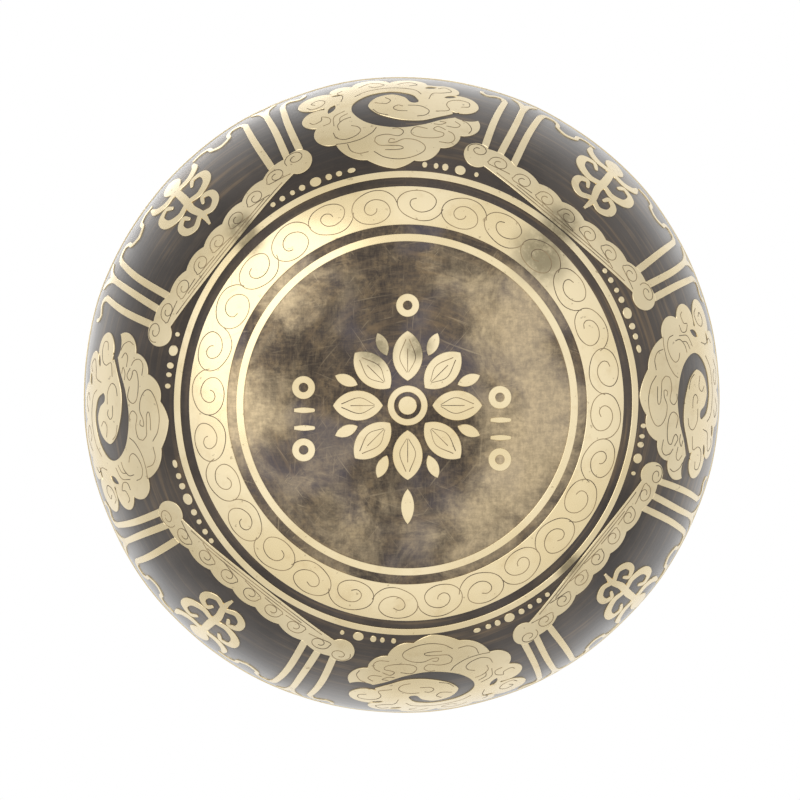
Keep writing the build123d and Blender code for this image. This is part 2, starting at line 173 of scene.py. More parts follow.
CURL_OUT = (
    (0.0, -1.0, 1.5),
    (0.7, 2.0, 1.4),
    (2.3, 2.8, 1.2),
    (3.5, 1.8, 1.1),
    (4.7, 1.0, 1.1),
    (5.9, 2.0, 1.1),
    (6.3, 3.9, 1.0),
)
SPRIG_X = 2.0
SPRIG_STEM = ((0.0, 73.2, 0.9), (0.5, 77.6, 1.9), (-0.4, 83.0, 2.3), (0.0, 88.6, 2.4), (0.0, 96.0, 2.0))
SPRIG_STROKES = (
    ((0.4, 78.2, 1.6), (3.6, 76.6, 2.0), (6.4, 78.4, 2.4), (6.5, 81.6, 2.2), (4.1, 83.0, 1.6),
     (3.0, 81.0, 1.1)),
    ((0.6, 86.4, 1.8), (4.2, 85.2, 2.4), (8.0, 87.6, 2.8), (8.3, 92.0, 2.4), (5.4, 93.6, 1.7),
     (3.9, 91.2, 1.2)),
    ((0.6, 96.2, 2.0), (4.6, 96.0, 2.6), (7.4, 98.6, 2.3), (7.9, 102.4, 1.0)),
)
SPRIG_BUD = (96.0, 106.4, 3.0)
DOTS = {
    "left": (
        (-51.2, 0.9, 0.9),
        (-47.4, 0.85, 0.9),
        (-44.3, 1.1, 1.1),
        (-39.2, 1.85, 1.45),
        (-33.6, 0.8, 0.75),
    ),
    "right": (
        (21.2, 0.95, 0.75),
        (24.9, 1.05, 0.85),
        (28.8, 0.9, 0.8),
        (32.4, 1.15, 0.95),
        (37.3, 2.0, 1.45),
        (42.0, 1.15, 1.0),
        (45.6, 1.1, 0.85),
        (49.9, 1.4, 0.75),
    ),
}
DOT_CLIMB = 65.0

# Base.
PETALS, PETAL, SEPAL = 8, (6.4, 19.4, 3.9), (14.0, 20.4, 1.5)
EYE_RADIUS, EYE_RING = 2.4, (3.5, 5.2)
BEAD_Y, TAIL = -26.0, (21.6, 31.0, 1.7)
MARKS = {"left": (-27.0, -4.7), "right": (24.0, -2.1)}
MARK_RING, MARK_RINGS, MARK_DASHES, DASH = (1.2, 3.0), (0.0, 16.2), (5.9, 10.5), (5.0, 1.5)
# Running scrolls of a band: the radius they are measured on, how many there are, and the turn of the first.
BAND_SCROLLS = {"scroll_band": (52.5, 28, 0.06), "shoulder_band": (89.5, 46, 0.02)}
SCROLL = (  # one scroll, from its outer end against the next one to its eye, on a band this pitch and height
    (6.2, 0.3),
    (5.3, 2.2),
    (3.3, 3.8),
    (0.8, 4.3),
    (-1.9, 3.8),
    (-4.5, 2.4),
    (-5.8, 0.4),
    (-5.7, -1.7),
    (-4.2, -3.4),
    (-2.0, -4.2),
    (0.4, -4.3),
    (2.6, -3.6),
    (4.0, -2.2),
    (4.0, -0.5),
    (2.8, 1.1),
    (0.5, 1.9),
    (-1.6, 1.3),
    (-2.6, -0.2),
    (-2.2, -1.5),
    (-0.9, -2.0),
    (0.4, -1.4),
    (0.7, -0.5),
)
SCROLL_PITCH, SCROLL_HEIGHT = 11.8, 10.5

# Mesh making.
TURNS = 360  # steps round a revolved piece
ROOT_DEPTH = 0.5  # how deep a relief piece is rooted, past the etched ground
EDGE = 0.1  # softened edge of the relief
OUTLINE_STEP = 0.45
FILL_STEP = 1.6
LINE_WIDTH = 0.22
LINE_PROUD = 0.025

# Hammer dents inside the wall: how many, and the radius and depth of each.
DENTS, DENT_RADIUS, DENT_DEPTH = 420, 7.5, 0.32

# The camera: lens and sensor in mm, distance in m, angles in degrees, shift in widths of the picture.
LENS, SENSOR = 107.494, 36.0
EYE_DISTANCE, EYE_TILT, EYE_HEADING = 0.620, 3.079, -30.15
SHIFT = (-7.643 / 800, 5.562 / 800)

rng = random.Random(7)


# ---------------------------------------------------------------- surface

WAVES = []
for _ in range(14):
    direction = Vector([rng.gauss(0, 1) for _ in range(3)]).normalized()
    length = rng.uniform(16, 48)
    WAVES.append((np.array(direction) * math.tau / length, rng.uniform(0, math.tau), 0.0011 * length))


def profile(climb):
    """Radius, height and slope of the outer surface at each climb."""
    climb = np.asarray(climb, float)
    slope = np.clip((climb - FLAT_RADIUS) / WALL_ARC, 0, math.pi / 2)
    lean = np.maximum(climb - BELLY_CLIMB, 0) / SHOULDER_ARC
    radius = np.minimum(climb, FLAT_RADIUS) + WALL_ARC * np.sin(slope) - SHOULDER_ARC * (1 - np.cos(lean))
    height = WALL_ARC * (1 - np.cos(slope)) + SHOULDER_ARC * np.sin(lean)
    return radius, height, slope + lean


def surface(turn, climb, depth):
    """Points, in mm, with the slight waviness that hammering leaves."""
    turn, climb, depth = np.broadcast_arrays(np.asarray(turn, float), climb, depth)
    radius, height, slope = profile(climb)
    round_x, round_y = np.sin(turn), -np.cos(turn)
    nominal = np.stack([radius * round_x, radius * round_y, height], -1)
    normal = np.stack([np.sin(slope) * round_x, np.sin(slope) * round_y, -np.cos(slope)], -1)
    wave = sum(size * np.sin(nominal @ along + phase) for along, phase, size in WAVES)
    wave *= 0.35 + 0.65 * np.clip((climb - 30) / 30, 0, 1) * np.clip((LIP_CLIMB - climb) / 10, 0, 1)
    return nominal + normal * (wave - depth)[..., None]


# ---------------------------------------------------------------- curves in a chart


def arc(start, crest, end, step=OUTLINE_STEP):
    """Points along the circle arc through three points, without its last one."""
    (ax, ay), (bx, by), (cx, cy) = start, crest, end
    det = 2 * (ax * (by - cy) + bx * (cy - ay) + cx * (ay - by))
    a2, b2, c2 = ax * ax + ay * ay, bx * bx + by * by, cx * cx + cy * cy
    ox = (a2 * (by - cy) + b2 * (cy - ay) + c2 * (ay - by)) / det
    oy = (a2 * (cx - bx) + b2 * (ax - cx) + c2 * (bx - ax)) / det
    radius = math.hypot(ax - ox, ay - oy)
    first = math.atan2(ay - oy, ax - ox)
    sweep = (math.atan2(cy - oy, cx - ox) - first) % math.tau
    if (math.atan2(by - oy, bx - ox) - first) % math.tau > sweep:
        sweep -= math.tau
    count = max(3, round(abs(sweep) * radius / step))
    return [
        (ox + radius * math.cos(first + sweep * i / count), oy + radius * math.sin(first + sweep * i / count))
        for i in range(count)
    ]


def smooth(places, step=OUTLINE_STEP):
    """Points of a smooth line through places of any dimension."""
    p = np.array(places, float)
    p = np.vstack([2 * p[0] - p[1], p, 2 * p[-1] - p[-2]])
    out = []
    for i in range(1, len(p) - 2):
        count = max(2, round(np.linalg.norm(p[i + 1, :2] - p[i, :2]) / step))
        for t in np.arange(count) / count:
            a = 2 * p[i] + (p[i + 1] - p[i - 1]) * t
            b = (2 * p[i - 1] - 5 * p[i] + 4 * p[i + 1] - p[i + 2]) * t**2
            c = (3 * p[i] - p[i - 1] - 3 * p[i + 1] + p[i + 2]) * t**3
            out.append((a + b + c) / 2)
    return np.array(out + [p[-2]])


def sides(line):
    """Unit vectors to the left of a line at each of its points."""
    along = np.gradient(np.asarray(line)[:, :2], axis=0)
    along /= np.linalg.norm(along, axis=1)[:, None]
    return np.stack([-along[:, 1], along[:, 0]], -1)


def ribbon(places):
    """Loop round a strip along places, each an (x, climb, width), with a round tip."""
    line = smooth(places)
    side = sides(line)
    half = line[:, 2:3] / 2
    left, right = line[:, :2] + side * half, line[:, :2] - side * half
    tip = line[-1, :2] + np.array([side[-1][1], -side[-1][0]]) * half[-1]
    cap = arc(left[-1], tip, right[-1])[1:]
    return [tuple(p) for p in left] + cap + [tuple(p) for p in right[::-1]]


def leaf(start, end, half_width):
    """Loop round a pointed leaf."""
    (ax, ay), (bx, by) = start, end
    reach = half_width / math.hypot(bx - ax, by - ay)
    crest = ((ax + bx) / 2 - (by - ay) * reach, (ay + by) / 2 + (bx - ax) * reach)
    other = ((ax + bx) / 2 + (by - ay) * reach, (ay + by) / 2 - (bx - ax) * reach)
    return arc(start, crest, end) + arc(end, other, start)


def ellipse(x, y, half_width, half_height):
    count = max(14, round(math.tau * max(half_width, half_height) / OUTLINE_STEP))
    steps = [math.tau * i / count for i in range(count)]
    return [(x + half_width * math.cos(a), y + half_height * math.sin(a)) for a in steps]


def inside(points, loop):
    """Which points lie in a loop."""
    x, y = points[:, 0:1], points[:, 1:2]
    a = np.array(loop)
    b = np.roll(a, -1, axis=0)
    rise = np.where(b[:, 1] == a[:, 1], 1e-12, b[:, 1] - a[:, 1])
    crosses = ((a[:, 1] > y) != (b[:, 1] > y)) & (x < (b[:, 0] - a[:, 0]) * (y - a[:, 1]) / rise + a[:, 0])
    return crosses.sum(1) % 2 == 1


def region(add, cut=()):
    """Triangles over the area of the added loops less the cut ones, as (points, triangles)."""
    loops = [list(loop) for loop in (*add, *cut)]
    points, edges = [], []
    for loop in loops:
        first = len(points)
        points += loop
        edges += [(first + i, first + (i + 1) % len(loop)) for i in range(len(loop))]
    outline = np.array(points)
    low, high = outline.min(0), outline.max(0)
    xs, ys = (np.arange(low[k], high[k], FILL_STEP) for k in (0, 1))
    grid = np.array([(x + (j % 2) * FILL_STEP / 2, y) for j, y in enumerate(ys) for x in xs])
    gap = np.array([np.min(np.hypot(*(outline - g).T)) for g in grid])
    points += [tuple(g) for g in grid[gap > FILL_STEP / 2]]
    made = delaunay_2d_cdt([Vector(p) for p in points], edges, [], 0, 1e-5)
    flat = np.array([tuple(v) for v in made[0]])
    triangles = np.array([f for f in made[2]])
    centres = flat[triangles].mean(1)
    keep = np.zeros(len(centres), bool)
    for loop in add:
        keep |= inside(centres, loop)
    for loop in cut:
        keep &= ~inside(centres, loop)
    triangles = triangles[keep]
    used, renumbered = np.unique(triangles, return_inverse=True)
    return flat[used], renumbered.reshape(-1, 3)


# ---------------------------------------------------------------- meshes


def make_piece(name, points, faces, material, nodes=(), uv=None, sharp=40):
    """Mesh object from points in mm, riding on the root body."""
    mesh = bpy.data.meshes.new(name)
    corners = [tuple(p) for p in np.asarray(points) * MM]
    mesh.from_pydata(corners, [], [tuple(int(i) for i in f) for f in faces])
    mesh.materials.append(material)
    mesh.shade_smooth()
    mesh.set_sharp_from_angle(angle=math.radians(sharp))
    if uv is not None:
        layer = mesh.uv_layers.new(name="chart")
        used = np.array([loop.vertex_index for loop in mesh.loops])
        layer.data.foreach_set("uv", (np.asarray(uv)[used] * MM).astype(np.float32).ravel())
    piece = bpy.data.objects.new(name, mesh)
    bpy.context.scene.collection.objects.link(piece)
    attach(piece, "root")
    if nodes:
        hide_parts(*nodes)
    return piece


def slab(flat, triangles, place):
    """Closed slab over a triangulated region. place maps flat points and a depth to points in mm."""
    count = len(flat)
    sides_of = {}
    for a, b, c in triangles:
        for edge in ((a, b), (b, c), (c, a)):
            sides_of[edge] = True
    border = [edge for edge in sides_of if (edge[1], edge[0]) not in sides_of]
    into = {}
    for a, b in border:
        into.setdefault(a, []).append(b)
        into.setdefault(b, []).append(a)
    # The top edge is drawn in a little and the wall starts a little lower, which softens the edge.
    inward = np.zeros_like(flat)
    for a, b in border:
        along = flat[b] - flat[a]
        along /= np.linalg.norm(along) + 1e-9
        for k in (a, b):
            inward[k] += (-along[1], along[0])
    size = np.linalg.norm(inward, axis=1)
    rim = np.array(sorted(into), int)
    inward[rim] /= size[rim][:, None] + 1e-9
    drawn = flat.copy()
    drawn[rim] += inward[rim] * EDGE
    number = {int(k): i for i, k in enumerate(rim)}
    top = place(drawn, 0.0)
    shoulder = place(flat[rim], EDGE)
    root = place(flat, ROOT_DEPTH)
    points = np.vstack([top, shoulder, root])
    faces = [tuple(t) for t in triangles]
    faces += [(count + len(rim) + a, count + len(rim) + c, count + len(rim) + b) for a, b, c in triangles]
    for a, b in border:
        low_a, low_b = count + number[int(a)], count + number[int(b)]
        faces.append((b, a, low_a, low_b))
        faces.append((low_b, low_a, count + len(rim) + a, count + len(rim) + b))
    return points, faces, np.vstack([flat, flat[rim], flat])


class Chart:
    def __init__(self, turn, shift=0.0, tilt=0.0, stretch=1.0):
        self.turn, self.shift, self.tilt, self.stretch = math.radians(turn), shift, tilt, stretch

    def place(self, flat, depth):
        x, climb = flat[:, 0], flat[:, 1]
        return surface(self.turn + x * self.stretch / GIRTH, climb + self.shift + self.tilt * x, depth)

    def uv(self, flat):
        turned = self.turn * GIRTH + flat[:, 0] * self.stretch
        return np.stack([turned, flat[:, 1] + self.shift + self.tilt * flat[:, 0]], -1)


def base_place(flat, depth):
    """Places on the surface for loops drawn on the base in x and y."""
    turn = np.arctan2(flat[:, 0], -flat[:, 1])
    return surface(turn, np.hypot(flat[:, 0], flat[:, 1]), depth)


def merged(parts):
    """One mesh from several (points, faces, uv)."""
    points, faces, uv = [], [], []
    for part_points, part_faces, part_uv in parts:
        faces += [tuple(int(i) + len(points) for i in f) for f in part_faces]
        points += list(part_points)
        uv += list(part_uv)
    return np.array(points), faces, np.array(uv)


def relief(name, shapes, chart):
    """Relief piece that stands for the CAD node of its name.

    shapes is a list of (added loops, cut loops). Without a chart they lie on the base.
    """
    parts = []
    for add, cut in shapes:
        flat, triangles = region(add, cut)
        points, faces, spread = slab(flat, triangles, chart.place if chart else base_place)
        parts.append((points, faces, chart.uv(spread) if chart else spread))
    points, faces, uv = merged(parts)
    if chart is None:
        faces = [tuple(reversed(f)) for f in faces]
    return make_piece(name + "_metal", points, faces, brass, [name], uv)


def strip(turn, climb, width):
    """Closed thin strip just proud of the relief, along a line of turns and climbs."""
    middle = np.stack([turn * profile(climb)[0].mean(), climb], -1)
    scale = profile(climb)[0].mean()
    side = sides(middle) * (width / 2)
    rows = []
    for sign, depth in ((1, 0.06), (1, -LINE_PROUD), (-1, -LINE_PROUD), (-1, 0.06)):
        rows.append(surface(turn + sign * side[:, 0] / scale, climb + sign * side[:, 1], depth))
    count = len(turn)
    points = np.stack(rows, 1).reshape(-1, 3)
    faces = []
    for i in range(count - 1):
        for k in range(4):
            faces.append((4 * i + k, 4 * i + (k + 1) % 4, 4 * i + 4 + (k + 1) % 4, 4 * i + 4 + k))
    last = 4 * (count - 1)
    faces += [(3, 2, 1, 0), (last, last + 1, last + 2, last + 3)]
    return points, faces, np.stack([turn * GIRTH, climb], -1).repeat(4, 0)


def scribes(name, lines, width=LINE_WIDTH):
    """One piece from scribed lines, each a pair of turn and climb arrays."""
    points, faces, uv = merged([strip(turn, climb, width) for turn, climb in lines])
    return make_piece(name, points, faces, scribed, (), uv)


def chart_line(chart, places, step=0.5):
    flat = smooth(places, step)
    turn = chart.turn + flat[:, 0] * chart.stretch / GIRTH
    return turn, flat[:, 1] + chart.shift + chart.tilt * flat[:, 0]


def base_line(places):
    flat = smooth(places, 0.5)
    return np.arctan2(flat[:, 0], -flat[:, 1]), np.hypot(flat[:, 0], flat[:, 1])


def ring_faces(size):
    """Faces round a piece of revolution whose section is a closed loop of this many places."""
    faces = []
    for i in range(TURNS):
        j = (i + 1) % TURNS
        for k in range(size):
            n = (k + 1) % size
            faces.append((i * size + k, j * size + k, j * size + n, i * size + n))
    return faces


def revolved(name, section, material, nodes):
    """Piece of revolution. section is a closed loop of (climb, depth)."""
    turns = np.arange(TURNS) * math.tau / TURNS
    columns = np.array(section)
    grid = surface(turns[:, None], columns[None, :, 0], columns[None, :, 1])
    size = len(columns)
    uv = np.stack([np.repeat(turns * GIRTH, size), np.tile(columns[:, 0], TURNS)], -1)
    return make_piece(name, grid.reshape(-1, 3), ring_faces(size), material, nodes, uv)


# ---------------------------------------------------------------- materials


class Nodes:
    """A material's node tree, with short calls to add to it."""

    def __init__(self, name):
        self.material = bpy.data.materials.new(name)
        self.material.use_nodes = True
        self.tree = self.material.node_tree
        self.shader = self.tree.nodes["Principled BSDF"]
        self.coords = self.tree.nodes.new("ShaderNodeTexCoord")

    def add(self, kind, **values):
        node = self.tree.nodes.new("ShaderNode" + kind)
        for key, value in values.items():
            setattr(node, key, value)
        return node

    def link(self, source, target):
        self.tree.links.new(source, target)

    def scaled(self, source, scale):
        node = self.add("Mapping")
        self.link(self.coords.outputs[source], node.inputs["Vector"])
        node.inputs["Scale"].default_value = scale
        return node.outputs["Vector"]

    def noise(self, vector, scale, detail=3.0, roughness=0.5, distortion=0.0):
        node = self.add("TexNoise")
        self.link(vector, node.inputs["Vector"])
        values = {"Scale": scale, "Detail": detail, "Roughness": roughness, "Distortion": distortion}
        for key, value in values.items():
            node.inputs[key].default_value = value
        return node.outputs["Fac"]

    def span(self, source, low, high, to_low=0.0, to_high=1.0):
        """source mapped from low..high to another range, smoothly."""
        node = self.add("MapRange", interpolation_type="SMOOTHSTEP")
        self.link(source, node.inputs["Value"])
        for key, value in (("From Min", low), ("From Max", high), ("To Min", to_low), ("To Max", to_high)):
            node.inputs[key].default_value = value
        return node.outputs["Result"]

    def times(self, a, b, operation="MULTIPLY"):
        node = self.add("Math", operation=operation, use_clamp=True)
        for socket, value in zip(node.inputs, (a, b)):
            if isinstance(value, float):
                socket.default_value = value
            else:
                self.link(value, socket)
        return node.outputs[0]

    def mix(self, factor, a, b, blend="MIX"):
        node = self.add("Mix", data_type="RGBA", blend_type=blend)
        for key, value in ((0, factor), (6, a), (7, b)):
            if isinstance(value, tuple):
                node.inputs[key].default_value = (*value, 1.0)
            elif isinstance(value, float):
                node.inputs[key].default_value = value
            else:
                self.link(value, node.inputs[key])
        return node.outputs[2]

    def near(self, point, low, high):
        """1 near a point in mm, falling to 0 between the low and high distances."""
        node = self.add("VectorMath", operation="DISTANCE")
        self.link(self.coords.outputs["Object"], node.inputs[0])
        node.inputs[1].default_value = Vector(point) * MM
        return self.span(node.outputs["Value"], low * MM, high * MM, 1.0, 0.0)

    def bump(self, height, distance, strength=1.0, under=None):
        node = self.add("Bump")
        self.link(height, node.inputs["Height"])
        node.inputs["Distance"].default_value = distance * MM
        node.inputs["Strength"].default_value = strength
        if under is not None:
            self.link(under, node.inputs["Normal"])
        return node.outputs["Normal"]

    def finish(self, color, roughness, normal, metallic=1.0, sheen=0.0):
        self.link(color, self.shader.inputs["Base Color"])
        self.link(roughness, self.shader.inputs["Roughness"])
        self.link(normal, self.shader.inputs["Normal"])
        self.shader.inputs["Metallic"].default_value = metallic
        self.shader.inputs["Sheen Weight"].default_value = sheen
        self.shader.inputs["Sheen Roughness"].default_value = 0.45
        return self.material


def scratches(nodes, source, seeds):
    """Fine scratches at several slants, as a 0 to 1 mask."""
    mask = None
    for turn, scale in seeds:
        turned_to, stretched = nodes.add("Mapping"), nodes.add("Mapping")
        nodes.link(nodes.coords.outputs[source], turned_to.inputs["Vector"])
        nodes.link(turned_to.outputs["Vector"], stretched.inputs["Vector"])
        turned_to.inputs["Rotation"].default_value = (0, 0, turn)
        stretched.inputs["Scale"].default_value = (scale, scale * 24, scale * 8)
        line = nodes.span(nodes.noise(stretched.outputs["Vector"], 1.0, 2.0, 0.6, 0.5), 0.64, 0.76)
        mask = line if mask is None else nodes.times(mask, line, "MAXIMUM")
    return mask


# Tarnish smudges, as (turn, climb, radius) of each.
SMUDGES = (
    (330.0, 17.0, 5.5),
    (10.0, 15.5, 4.0),
    (42.0, 53.0, 8.5),
    (40.5, 64.5, 6.0),
    (316.0, 60.5, 4.2),
    (317.0, 66.0, 4.6),
    (135.0, 62.0, 4.0),
)
# Where the patina has rubbed off the base, as (x, y, radius, strength) of each place; the spot at (-44, 2) is
# partly a painted highlight in the groove there.
WEAR_AND_HIGHLIGHT = (
    (34.0, 4.0, 16.0, 0.80),
    (27.0, -22.0, 14.0, 0.78),
    (28.0, 22.0, 15.0, 0.68),
    (12.0, -35.0, 8.0, 0.42),
    (12.0, 34.0, 13.0, 0.42),
    (-18.0, 30.0, 20.0, 0.34),
    # Partly painted highlight: the bright bronze here also stands in for the light that falls on this groove.
    (-44.0, 2.0, 14.0, 0.85),
    (-30.0, -29.0, 13.0, 0.48),
)


def brass_material():
    n = Nodes("relief_brass")
    place, chart = n.coords.outputs["Object"], n.coords.outputs["UV"]
    cloudy = n.noise(place, 34.0, 4.0)
    color = n.mix(n.span(cloudy, 0.35, 0.65), (0.80, 0.655, 0.385), (0.90, 0.765, 0.50))
    fine = n.noise(place, 190.0, 4.0, 0.65)
    color = n.mix(n.span(fine, 0.52, 0.78, 0.0, 0.35), color, (0.62, 0.46, 0.24))
    specks = n.span(n.noise(place, 620.0, 2.0), 0.68, 0.76, 0.0, 0.55)
    color = n.mix(specks, color, (0.30, 0.22, 0.12))
    tarnish = None
    for turn, climb, radius in SMUDGES:
        spot = n.near(surface(math.radians(turn), climb, 0.0), radius * 0.3, radius * 1.35)
        tarnish = spot if tarnish is None else n.times(tarnish, spot, "ADD")
    mottle = n.span(n.noise(place, 330.0, 5.0, 0.7), 0.20, 0.58, 0.35, 1.0)
    tarnish = n.times(n.times(tarnish, mottle), 0.74)
    color = n.mix(tarnish, color, (0.15, 0.125, 0.07))
    brushed = n.noise(n.scaled("UV", (90.0, 2600.0, 1.0)), 1.0, 2.0)
    marks = scratches(n, "Object", ((0.4, 60.0), (1.5, 75.0), (2.6, 52.0)))
    rough = n.span(cloudy, 0.3, 0.7, 0.23, 0.33)
    rough = n.times(rough, n.times(tarnish, 0.25), "ADD")
    rough = n.times(rough, n.times(marks, 0.1), "ADD")
    normal = n.bump(brushed, 0.012, 0.5)
    normal = n.bump(fine, 0.03, 0.35, normal)
    return n.finish(color, rough, normal, 1.0, 0.35)


def ground_material():
    n = Nodes("etched_ground")
    place = n.coords.outputs["Object"]
    tone = n.noise(place, 26.0, 5.0, 0.6)
    color = n.mix(n.span(tone, 0.35, 0.68), (0.040, 0.031, 0.025), (0.086, 0.068, 0.055))
    streak = n.noise(n.scaled("UV", (24.0, 620.0, 1.0)), 1.0, 4.0, 0.6)
    golden = n.times(n.span(streak, 0.46, 0.72), n.span(tone, 0.38, 0.64, 0.12, 0.85))
    color = n.mix(golden, color, (0.22, 0.15, 0.082))
    # Cloudy bronze where the patina of the base has rubbed through, and at (-44, 2) also a painted highlight.
    split = n.add("SeparateXYZ")
    n.link(place, split.inputs[0])
    flat = n.add("CombineXYZ")
    for key in ("X", "Y"):
        n.link(split.outputs[key], flat.inputs[key])
    away = n.add("VectorMath", operation="LENGTH")
    n.link(flat.outputs[0], away.inputs[0])
    low = n.span(split.outputs["Z"], 0.010, 0.016, 1.0, 0.0)
    disc = n.times(n.span(away.outputs["Value"], 0.0465, 0.060, 1.0, 0.10), low)
    worn_and_highlight = n.span(n.noise(place, 80.0, 6.0, 0.68, 0.5), 0.34, 0.66, 0.0, 0.44)
    for x, y, radius, strength in WEAR_AND_HIGHLIGHT:
        spot = n.near((x, y, 1.5), radius * 0.1, radius * 1.5)
        worn_and_highlight = n.times(worn_and_highlight, n.times(spot, strength), "ADD")
    across = n.noise(n.scaled("Object", (260.0, 1500.0, 260.0)), 1.0, 4.0, 0.7, 0.6)
    along = n.noise(n.scaled("Object", (1500.0, 260.0, 260.0)), 1.0, 4.0, 0.7, 0.6)
    brushed = n.times(n.times(across, 0.5), n.times(along, 0.5), "ADD")
    grain = n.span(n.noise(place, 700.0, 4.0, 0.7), 0.30, 0.70)
    color = n.mix(n.times(disc, n.span(brushed, 0.40, 0.66, 0.0, 0.5)), color, (0.175, 0.128, 0.080))
    ochre = n.times(n.span(n.noise(place, 110.0, 5.0, 0.7), 0.44, 0.62, 0.0, 0.6), grain)
    color = n.mix(n.times(ochre, disc), color, (0.26, 0.185, 0.10))
    bluish = n.times(n.span(n.noise(place, 42.0, 3.0), 0.46, 0.62, 0.0, 0.5), disc)
    color = n.mix(bluish, color, (0.105, 0.095, 0.118))
    worn_and_highlight = n.times(n.span(worn_and_highlight, 0.20, 1.34), disc)
    rubbed = n.times(n.span(brushed, 0.38, 0.62, 0.80, 1.0), n.span(grain, 0.0, 1.0, 0.74, 1.0))
    # Bright bronze mixed in: bare metal where the patina has rubbed off, and at (-44, 2) also a painted
    # highlight.
    color = n.mix(n.times(worn_and_highlight, rubbed), color, (0.72, 0.565, 0.34))
    marks = scratches(n, "Object", ((0.2, 62.0), (0.9, 75.0), (1.5, 66.0), (2.2, 80.0), (2.8, 70.0)))
    marked = n.times(n.times(marks, disc), n.span(tone, 0.35, 0.65, 0.10, 0.36))
    color = n.mix(marked, color, (0.58, 0.46, 0.29))
    rough = n.span(tone, 0.3, 0.7, 0.30, 0.42)
    rough = n.times(rough, n.times(worn_and_highlight, 0.06), "ADD")
    normal = n.bump(streak, 0.02, 0.5)
    normal = n.bump(grain, 0.015, 0.4, normal)
    return n.finish(color, rough, normal, 0.9, 0.7)


def inner_material():
    n = Nodes("inner_brass")
    place = n.coords.outputs["Object"]
    cloudy = n.noise(place, 30.0, 5.0, 0.6)
    color = n.mix(n.span(cloudy, 0.35, 0.65), (0.62, 0.47, 0.24), (0.80, 0.64, 0.37))
    stain = n.span(n.noise(place, 75.0, 6.0, 0.65), 0.52, 0.72, 0.0, 0.55)
    color = n.mix(stain, color, (0.34, 0.22, 0.10))
    lathe = n.noise(n.scaled("UV", (14.0, 1500.0, 1.0)), 1.0, 3.0)
    rough = n.span(cloudy, 0.3, 0.7, 0.24, 0.38)
    normal = n.bump(lathe, 0.02, 0.6)
    return n.finish(color, rough, normal)


def scribed_material():
    n = Nodes("scribed_line")
    place = n.coords.outputs["Object"]
    ink = n.noise(place, 150.0, 3.0)
    color = n.mix(n.span(ink, 0.40, 0.62), (0.34, 0.25, 0.14), (0.13, 0.095, 0.06))
    rough = n.span(ink, 0.3, 0.7, 0.45, 0.6)
    normal = n.bump(n.noise(place, 900.0), 0.02, 0.5)
    return n.finish(color, rough, normal, 0.6)


brass, ground = brass_material(), ground_material()
inner, scribed = inner_material(), scribed_material()


# ---------------------------------------------------------------- bowl


def ring_section(low, high):
    """(climb, depth) points round the section of a relief ring."""
    fill = np.linspace(low + EDGE, high - EDGE, max(2, round((high - low) / 1.2) + 1))
    top = [(c, 0.0) for c in fill]
    root = [(c, ROOT_DEPTH) for c in fill[::-1]]
    return [(low, ROOT_DEPTH), (low, EDGE), *top, (high, EDGE), (high, ROOT_DEPTH), *root[1:-1]]


def wall_depth(climb):
    """Depth of the inner surface: the wall thickens towards the rim."""
    rise = np.clip((climb - BELLY_CLIMB) / (LIP_CLIMB - BELLY_CLIMB), 0, 1)
    return RELIEF + WALL + (RIM_WALL - WALL) * rise**2


def dents(points, count, radius, depth):
    """How far each point of the inner surface is pressed outwards by hammer marks."""
    spots = []
    for _ in range(count):
        climb = 26 + (LIP_CLIMB - 34) * rng.random() ** 0.7
        spots.append((rng.uniform(0, math.tau), climb))
    turns, climbs = np.array(spots).T
    centres = surface(turns, climbs, wall_depth(climbs))
    press = np.zeros(len(points))
    for centre in centres:
        gap = np.linalg.norm(points - centre, axis=1) / radius
        near = gap < 1
        press[near] = np.maximum(press[near], depth * (1 - gap[near] ** 2) ** 2)
    return press


def bowl_wall():
    """The wall, from the etched ground outside to the hammered surface inside."""
    outer = np.linspace(0, LIP_CLIMB, 96)
    within = np.linspace(LIP_CLIMB, 0, 112)
    section = [(c, RELIEF) for c in outer[1:]] + [(c, wall_depth(c)) for c in within[:-1]]
    columns = np.array(section)
    turns = np.arange(TURNS) * math.tau / TURNS
    grid = surface(turns[:, None], columns[None, :, 0], columns[None, :, 1])
    split = len(outer) - 1
    pressed = grid[:, split:].reshape(-1, 3)
    press = dents(pressed, DENTS, DENT_RADIUS, DENT_DEPTH).reshape(TURNS, -1)
    climb = np.broadcast_to(columns[split:, 0], press.shape)
    grid[:, split:] = surface(turns[:, None], climb, columns[split:, 1] - press)
    size = len(section)
    points = list(grid.reshape(-1, 3))
    foot, floor = len(points), len(points) + 1
    points += [surface(0.0, 0.0, RELIEF), surface(0.0, 0.0, RELIEF + WALL)]
    faces = []
    for i in range(TURNS):
        j = (i + 1) % TURNS
        faces += [(i * size + k, j * size + k, j * size + k + 1, i * size + k + 1) for k in range(size - 1)]
        faces.append((foot, j * size, i * size))
        faces.append((floor, i * size + size - 1, j * size + size - 1))
    uv = np.stack([np.repeat(turns * GIRTH, size), np.tile(columns[:, 0], TURNS)], -1)
    uv = np.vstack([uv, [[0, 0], [0, 0]]])
    piece = make_piece("bowl_wall", points, faces, ground, ["bowl_body"], uv, 60)
    piece.data.materials.append(inner)
    for face in piece.data.polygons:
        low = min(face.vertices)
        if (low < foot and low % size >= split) or floor in face.vertices:
            face.material_index = 1
    return piece


